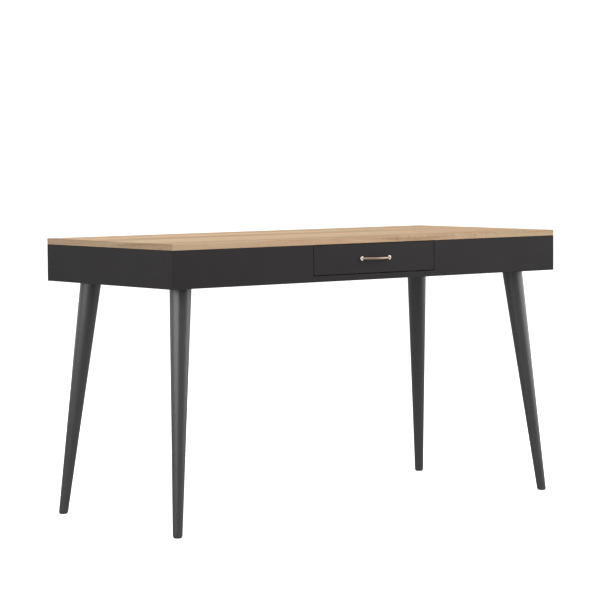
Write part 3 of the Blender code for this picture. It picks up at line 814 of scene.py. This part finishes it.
def make_cams():
    """The cam locks that pull the boards together, almost flush in the faces that aren't seen.

    Each cam's slot is turned by an angle that follows from its place, since no two are turned alike.
    """
    ends = (APRON_HIGH.y + CAM_INSET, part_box("back_apron")[0].y - CAM_INSET)
    for side, sign in SIDES:
        make_divider_cams(side, sign, ends)
        make_rail_cams(side, ends)
        make_drawer_cams(side, sign)
    low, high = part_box("drawer_stretcher")
    middle_y = (low.y + high.y) / 2
    sides = (low.x + CAM_INSET, high.x - CAM_INSET)
    places = [facing((0, 0, -1), (x, middle_y, low.z), x) for x in sides]
    add_cams("stretcher_cams", BOARD_CAM, places, "desk_frame")


def make_divider_cams(side, sign, ends):
    """Four cams in a divider's outer face."""
    low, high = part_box("drawer_divider_" + side)
    face = high.x if sign > 0 else low.x
    heights = (low.z + 0.025, high.z - 0.025)
    places = [facing((sign, 0, 0), (face, y, z), y + z) for y in ends for z in heights]
    add_cams("divider_cams_" + side, BOARD_CAM, places, "desk_frame")


def make_rail_cams(side, ends):
    """Four cams in the underside of a leg rail."""
    low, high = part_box("leg_rail_" + side)
    edges = (low.x + 0.018, high.x - 0.018)
    places = [facing((0, 0, -1), (x, y, low.z), x * y * 9) for x in edges for y in ends]
    add_cams("leg_rail_cams_" + side, BOARD_CAM, places, "desk_frame")


def make_drawer_cams(side, sign):
    """Four cams in the inner face of a drawer side."""
    low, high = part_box("drawer_side_" + side)
    face = low.x if sign > 0 else high.x
    depths = (low.y + CAM_INSET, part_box("drawer_back")[0].y - CAM_INSET)
    heights = (low.z + 0.024, high.z - 0.012)
    places = [facing((-sign, 0, 0), (face, y, z), y + z) for y in depths for z in heights]
    add_cams("drawer_cams_" + side, DRAWER_CAM, places, "drawer")


def add_cams(name, cam, places, body):
    """One piece that holds a cam lock at each place."""
    add_steel(name, merged_mesh(name, cam, places), body)


# Brackets

BRACKET_SHEET = 0.002
BRACKET_BEND = 0.0015


def angle_section(arm):
    """The L-shaped section of a bent bracket: its outer corner at the origin, its arms along +X and +Y."""
    middle = BRACKET_SHEET / 2
    bend = BRACKET_BEND
    path = [(arm, middle), (bend + middle, middle)]
    path += arc((bend + middle, bend + middle), bend, 270, 180, 6)[1:]
    path += [(middle, arm)]
    return rolled_section(path, BRACKET_SHEET)


def bracket_holes(arm, height, spin=0.0):
    """Where the two arms' holes are, at a height over their outer faces, facing into the angle."""
    along = arm * 0.66
    lying = facing((0, 1, 0), Vector((along, height, 0)), spin)
    standing = facing((1, 0, 0), Vector((height, along, 0)), spin)
    return [lying, standing]


def bracket_mesh(name, arm, width):
    """A bent bracket with a hole in each arm, its section in XY and its width along Z."""
    shape = prism_shape(angle_section(arm), width)
    round_edges(shape, sharp_corners(shape), 0.0003, 2)
    tools = []
    for place in bracket_holes(arm, 0):
        tool = turned_shape(drill(0.0019, 0.01), 24)
        move(tool, place)
        tools.append(tool)
    return cut_mesh(name, new_mesh(name, shape), tools)


def make_bracket(name, node, turn, spin):
    """A bracket in the place of a CAD node, with a pan-head screw in each arm, turned by a spin."""
    low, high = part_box(node)
    across = turn.inverted().to_3x3() @ (high - low)
    arm, _, width = (abs(part) for part in across)
    corner = (low + high) / 2 - turn.to_3x3() @ Vector((arm / 2, arm / 2, 0))
    mesh = bracket_mesh(name, arm, width)
    place = Matrix.Translation(corner) @ turn
    mesh.transform(place)
    add_steel(name, mesh, "desk_frame", node)
    heads = [place @ hole for hole in bracket_holes(arm, BRACKET_SHEET, spin)]
    screws = merged_mesh(name + "_screws", PAN_SCREW, heads)
    add_steel(name + "_screws", screws, "desk_frame")


def make_brackets():
    """The upright angles in the corners and the angles that hold the top."""
    turns = {(1, 1): 180, (-1, 1): 270, (-1, -1): 0, (1, -1): 90}
    for count, (corner, sign_x, sign_y) in enumerate(CORNERS):
        upright = Matrix.Rotation(math.radians(turns[sign_x, sign_y]), 4, "Z")
        make_bracket("corner_angle_" + corner, "corner_bracket_" + corner, upright, 0.4 + count)
        away = Vector((0, -sign_y, 0))
        lying = turn_onto(away, -UP, away.cross(-UP))
        make_bracket("top_angle_" + corner, "top_bracket_" + corner, lying, 0.9 * count)


# The slides

SLIDE_SHEET = 0.0012
CAGE_SHEET = 0.0006
BALL_RADIUS = 0.0013
BALLS_IN_ROW = 11

# Holes in the slides' webs: place along the slide, radius, and length between the round ends
RAIL_HOLES = [(-0.16, 0.0024, 0), (-0.032, 0.0024, 0.006), (0.096, 0.0024, 0), (0.165, 0.0024, 0.006)]
MIDDLE_SLOTS = [(-0.15, 0.004, 0.012), (-0.05, 0.004, 0.03), (0.05, 0.004, 0.03), (0.15, 0.004, 0.012)]
RUNNER_HOLES = [(-0.165, 0.0022, 0.004), (-0.064, 0.0022, 0), (0.064, 0.0022, 0.004), (0.165, 0.0022, 0)]

# Screws that hold a slide: distance from the divider, and their places along it
RAIL_SCREWS = (0.0009, (-0.16, -0.032, 0.096))
RUNNER_SCREWS = (0.0112, (-0.064, 0.064, 0.165))


def slide_axes(sign):
    """The matrix of a slide: X from the divider towards the drawer, Y up, Z along it, centred on it."""
    side = "right" if sign > 0 else "left"
    low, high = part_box("slide_outer_" + side)
    wall_low, wall_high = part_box("drawer_divider_" + side)
    wall_x = wall_low.x if sign > 0 else wall_high.x
    inward = Vector((-sign, 0, 0))
    turn = turn_onto(inward, UP, inward.cross(UP))
    return Matrix.Translation((wall_x, (low.y + high.y) / 2, (low.z + high.z) / 2)) @ turn


def channel_path(web, flange, half, lip):
    """Half of a channel's middle line, from the middle of its web to the end of its lip.

    Web and flange are distances from the divider, half is half the height, and lip is the lip's drop.
    """
    bend = 0.0011
    toward = bend if flange > web else -bend
    angles = [math.radians(90) * (i + 1) / 4 for i in range(4)]
    low = half - bend
    path = [(web, 0), (web, low)]
    path += [(web + toward * (1 - math.cos(angle)), low + bend * math.sin(angle)) for angle in angles]
    if not lip:
        return path + [(flange, half)]
    start = flange - toward
    path.append((start, half))
    path += [(start + toward * math.sin(angle), low + bend * math.cos(angle)) for angle in angles]
    return path + [(flange, half - lip)]


def channel_outline(web, flange, half, lip, sheet):
    """The outline of a rolled channel, the same above and below its middle."""
    upper = channel_path(web, flange, half, lip)
    lower = [(x, -y) for x, y in reversed(upper[1:])]
    return rolled_section(lower + upper, sheet)


def slot_tool(along, radius, length):
    """The tool that cuts a round-ended hole through a slide's web."""
    outline = arc((length / 2, 0), radius, -90, 90, 10) + arc((-length / 2, 0), radius, 90, 270, 10)
    tool = prism_shape(outline, 0.03)
    turn = turn_onto((0, 0, 1), (0, 1, 0), (-1, 0, 0))
    move(tool, Matrix.Translation((0.006, 0, along)) @ turn)
    return tool


def slide_member(name, node, body, sign, outline, holes):
    """One rolled member of a slide, with holes punched in its web."""
    low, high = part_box(node)
    shape = prism_shape(outline, high.y - low.y)
    mesh = cut_mesh(name, new_mesh(name, shape), [slot_tool(*hole) for hole in holes])
    mesh.transform(slide_axes(sign))
    add_steel(name, mesh, body, node)


def make_cage(name, node, sign):
    """A thin cage strip and its two rows of polished balls, on the body with its node's name."""
    low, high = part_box(node)
    axes = slide_axes(sign)
    length = high.y - low.y
    reach = high.x - low.x
    web = abs((high.x if sign > 0 else low.x) - axes.translation.x)
    track = (high.z - low.z) / 2 - BALL_RADIUS
    outline = channel_outline(web + CAGE_SHEET / 2, web + reach, track, 0, CAGE_SHEET)
    mesh = new_mesh(name, prism_shape(outline, length))
    mesh.transform(axes)
    add_piece(name, mesh, node, "ball_cage", node, crisp=35)
    ball = {"u_segments": 16, "v_segments": 10, "radius": BALL_RADIUS}
    pitch = (length - 0.012) / (BALLS_IN_ROW - 1)
    shape = bmesh.new()
    for row in (-1, 1):
        for count in range(BALLS_IN_ROW):
            along = (count - (BALLS_IN_ROW - 1) / 2) * pitch
            spot = (web + reach - BALL_RADIUS, row * track, along)
            bmesh.ops.create_uvsphere(shape, matrix=axes @ Matrix.Translation(spot), **ball)
    add_piece(name + "_balls", new_mesh(name + "_balls", shape), node, "zinc_steel", crisp=60)


def make_slide_screws(name, body, sign, direction, screws):
    """A row of screws in a slide, turned towards the drawer (1) or the divider (-1)."""
    across, spots = screws
    places = [slide_axes(sign) @ facing((direction, 0, 0), Vector((across, 0, along))) for along in spots]
    add_steel(name, merged_mesh(name, SLIDE_SCREW, places), body)


def make_slides():
    """Both telescopic slides: three members each, two ball cages between them, and the screws."""
    rail = channel_outline(web=0.0009, flange=0.0081, half=0.0169, lip=0.0026, sheet=SLIDE_SHEET)
    middle = channel_outline(web=0.0033, flange=0.0102, half=0.0125, lip=0.0020, sheet=SLIDE_SHEET)
    runner = channel_outline(web=0.0118, flange=0.0055, half=0.0081, lip=0, sheet=SLIDE_SHEET)
    for side, sign in SIDES:
        slide_member("slide_rail_" + side, "slide_outer_" + side, "desk_frame", sign, rail, RAIL_HOLES)
        body = "slide_middle_" + side
        slide_member("slide_intermediate_" + side, body, body, sign, middle, MIDDLE_SLOTS)
        slide_member("slide_runner_" + side, "slide_inner_" + side, "drawer", sign, runner, RUNNER_HOLES)
        make_cage("ball_cage_outer_" + side, "outer_cage_" + side, sign)
        make_cage("ball_cage_inner_" + side, "inner_cage_" + side, sign)
        make_slide_screws("rail_screws_" + side, "desk_frame", sign, 1, RAIL_SCREWS)
        make_slide_screws("runner_screws_" + side, "drawer", sign, -1, RUNNER_SCREWS)


# The drawer and its handle


def make_drawer():
    """The front, the box and the thin bottom in its grooves."""
    make_board("drawer_face", "drawer_front", "drawer", "charcoal_lacquer")
    for side, _ in SIDES:
        make_board("drawer_wall_" + side, "drawer_side_" + side, "drawer", "drawer_board", 0.0005)
        make_board("stop_block_" + side, "drawer_stop_" + side, "desk_frame", "black_rubber", 0.0015)
    make_board("drawer_rear_wall", "drawer_back", "drawer", "drawer_board", 0.0005)
    make_board("drawer_base", "drawer_bottom", "drawer", "drawer_board", 0.0002)


def handle_arc():
    """The circle that the bow's middle line follows: radius, centre, half its sweep, and the bar's radius.

    It runs through the faces of both rosettes and as far out as the CAD bow.
    """
    bow_low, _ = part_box("handle_bow")
    left_low, left_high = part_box("handle_rosette_left")
    right_low, right_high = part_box("handle_rosette_right")
    half = ((right_low.x + right_high.x) - (left_low.x + left_high.x)) / 4
    face = left_low.y
    bar = 0.003
    rise = face - (bow_low.y + bar)
    bend = (half**2 + rise**2) / (2 * rise)
    centre = Vector((0, face - rise + bend, (left_low.z + left_high.z) / 2))
    sweep = math.asin(half / bend)
    return bend, centre, sweep, bar


def make_handle():
    """The bent bar, cut off flat on its rosettes, with the two rosettes and their screws."""
    bend, arc_centre, sweep, bar = handle_arc()
    over = math.radians(7)
    steps, sides = 72, 32
    turns = [math.tau * i / sides for i in range(sides)]
    shape = bmesh.new()
    rings = []
    for step in range(steps + 1):
        angle = (sweep + over) * (2 * step / steps - 1)
        outward = Vector((math.sin(angle), -math.cos(angle), 0))
        centre = arc_centre + outward * bend
        ring = [centre + bar * (outward * math.cos(turn) + UP * math.sin(turn)) for turn in turns]
        rings.append([shape.verts.new(spot) for spot in ring])
    close_tube(shape, rings)
    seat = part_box("handle_rosette_left")[0].y - 0.0001
    cut_off_behind(shape, seat)
    add_piece("handle_bar", new_mesh("handle_bar", shape), "drawer", "rose_gold", "handle_bow")
    for side, _ in SIDES:
        make_rosette(side)
        make_handle_bolt(side)


def cut_off_behind(shape, y):
    """Take away all of a bmesh that lies behind a plane, and close the cut."""
    geometry = list(shape.verts) + list(shape.edges) + list(shape.faces)
    plane = {"plane_co": (0, y, 0), "plane_no": (0, 1, 0)}
    cut = bmesh.ops.bisect_plane(shape, geom=geometry, clear_outer=True, **plane)
    rim = [part for part in cut["geom_cut"] if isinstance(part, bmesh.types.BMEdge)]
    bmesh.ops.holes_fill(shape, edges=rim, sides=0)


def make_rosette(side):
    """A flat round rosette with a rounded rim."""
    low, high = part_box("handle_rosette_" + side)
    radius = (high.x - low.x) / 2
    thick = high.y - low.y
    rim = 0.0011
    chamfer = 0.0004
    profile = [(0, thick)]
    profile += arc((radius - rim, thick - rim), rim, 90, 0, 8)
    profile += [(radius, chamfer), (radius - chamfer, 0), (0, 0)]
    shape = turned_shape(profile, 64)
    middle = (low + high) / 2
    move(shape, facing((0, -1, 0), (middle.x, high.y, middle.z)))
    mesh = new_mesh("rosette_" + side, shape)
    # Paler gold than the bar's: a painted highlight on the rosette, over real gloss
    mesh.materials.append(ROSETTE_GOLD_HIGHLIT)
    add_piece("rosette_" + side, mesh, "drawer", "rose_gold", "handle_rosette_" + side, crisp=40)


def make_handle_bolt(side):
    """The screw that holds a rosette from inside the drawer."""
    low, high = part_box("handle_rosette_" + side)
    middle = (low + high) / 2
    inner_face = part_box("drawer_front")[1].y
    place = facing((0, 1, 0), (middle.x, inner_face, middle.z), 0.5)
    name = "handle_bolt_" + side
    mesh = merged_mesh(name, PAN_SCREW, [place])
    add_steel(name, mesh, "drawer", "handle_screw_" + side)


# The stage

# Softboxes, seen only in the gloss: name, bearing from +X in degrees, distance, width, heights, strength
SOFTBOXES = [
    ("left_softbox", 187, 3.0, 2.9, (0.55, 3.3), 3.4),
    ("right_softbox", 329, 3.0, 3.9, (0.15, 3.2), 1.85),
    ("side_softbox", 132, 3.2, 2.6, (0.30, 3.0), 0.75),
]
# Fills that only brighten, all of one size, distance and height: name, bearing, strength
FILLS = [("front_fill", 285, 2.2), ("left_fill", 190, 1.6), ("right_fill", 0, 1.2), ("rear_fill", 90, 1.4)]
FILL_SIZE = 3.0
FILL_DISTANCE = 4.0
FILL_HEIGHTS = (0.5, 3.5)

# The camera, in metres from under the middle of the top, with its yaw, pitch and roll in radians
CAMERA_SPOT = (-4.1279, -5.1497, 0.9983)
CAMERA_TURNS = (0.6723, 0.06547, 0.0069)
CAMERA_LENS = 142.3
CAMERA_SENSOR = 36


def make_stage():
    """A pale floor and dome, a dim room, softboxes, fills, a ceiling light and the camera."""
    floor_shape = bmesh.new()
    bmesh.ops.create_grid(floor_shape, x_segments=1, y_segments=1, size=30)
    floor = add_backdrop("floor", floor_shape, 0.9)
    floor.location.z = -0.0002
    dome_shape = bmesh.new()
    bmesh.ops.create_uvsphere(dome_shape, u_segments=32, v_segments=16, radius=40)
    dome = add_backdrop("dome", dome_shape, 1.2)
    dome.visible_shadow = False
    bpy.context.scene.view_settings.view_transform = "Standard"
    make_world()
    make_lights()
    make_camera()


def make_world():
    """A dim, even, white room."""
    world = bpy.data.worlds.new("studio")
    world.use_nodes = True
    room = world.node_tree.nodes["Background"]
    room.inputs["Color"].default_value = (1, 1, 1, 1)
    room.inputs["Strength"].default_value = 0.45
    bpy.context.scene.world = world


def make_lights():
    """The softboxes and fills around the desk, and one light over it."""
    for name, bearing, distance, width, heights, strength in SOFTBOXES:
        softbox = make_area_light(name, width, heights[1] - heights[0], strength, "gloss")
        stand_light(softbox, bearing, distance, heights)
    for name, bearing, strength in FILLS:
        fill = make_area_light(name, FILL_SIZE, FILL_SIZE, strength, "fill")
        stand_light(fill, bearing, FILL_DISTANCE, FILL_HEIGHTS)
    ceiling = make_area_light("ceiling_light", 4.0, 4.0, 0.8, "both")
    ceiling.location = (0, MIDDLE_Y, 3.6)


def add_backdrop(name, shape, glow):
    """A white surface that only the camera sees: it lights nothing and shows in no gloss."""
    backdrop = new_object(name, new_mesh(name, shape))
    white = Nodes(name + "_white", (0.85, 0.85, 0.85), 0.9, specular=0.0)
    white.shader.inputs["Emission Color"].default_value = (1, 1, 1, 1)
    white.shader.inputs["Emission Strength"].default_value = glow
    backdrop.data.materials.append(white.material)
    backdrop.visible_glossy = False
    backdrop.visible_diffuse = False
    return backdrop


def make_area_light(name, width, height, strength, purpose):
    """A rectangular light that the camera doesn't see, for gloss, for fill or for both.

    Its power grows with its area, so that a strength looks equally bright at any size.
    """
    data = bpy.data.lights.new(name, "AREA")
    data.shape = "RECTANGLE"
    data.size = width
    data.size_y = height
    data.energy = strength * 4 * width * height
    lamp = new_object(name, data)
    lamp.visible_camera = False
    lamp.visible_diffuse = purpose != "gloss"
    lamp.visible_glossy = purpose != "fill"
    return lamp


def stand_light(lamp, bearing, distance, heights):
    """Stand a light at a bearing from +X, in degrees, facing the desk."""
    away = Vector((math.cos(math.radians(bearing)), math.sin(math.radians(bearing)), 0))
    lamp.location = Vector((0, MIDDLE_Y, sum(heights) / 2)) + distance * away
    lamp.rotation_euler = (-away).to_track_quat("-Z", "Y").to_euler()


def make_camera():
    """The camera, a little higher than the desk and well out from its front left corner."""
    yaw, pitch, roll = CAMERA_TURNS
    level_x, level_y = math.sin(yaw), math.cos(yaw)
    forward = Vector((level_x * math.cos(pitch), level_y * math.cos(pitch), -math.sin(pitch)))
    right = Vector((level_y, -level_x, 0))
    down = forward.cross(right)
    rolled_right = math.cos(roll) * right + math.sin(roll) * down
    rolled_down = -math.sin(roll) * right + math.cos(roll) * down
    data = bpy.data.cameras.new("camera")
    data.lens = CAMERA_LENS
    data.sensor_width = CAMERA_SENSOR
    camera = new_object("camera", data)
    spot = Vector((0, MIDDLE_Y, 0)) + Vector(CAMERA_SPOT)
    camera.matrix_world = Matrix.Translation(spot) @ turn_onto(rolled_right, -rolled_down, -forward)
    bpy.context.scene.camera = camera


def main():
    """Build every piece, then the stage."""
    make_top()
    make_aprons()
    make_inner_boards()
    for corner, *_ in CORNERS:
        make_leg(corner)
        make_glide(corner)
        make_leg_plate(corner)
        make_leg_bolt(corner)
    make_brackets()
    make_cams()
    make_slides()
    make_drawer()
    make_handle()
    make_stage()


main()
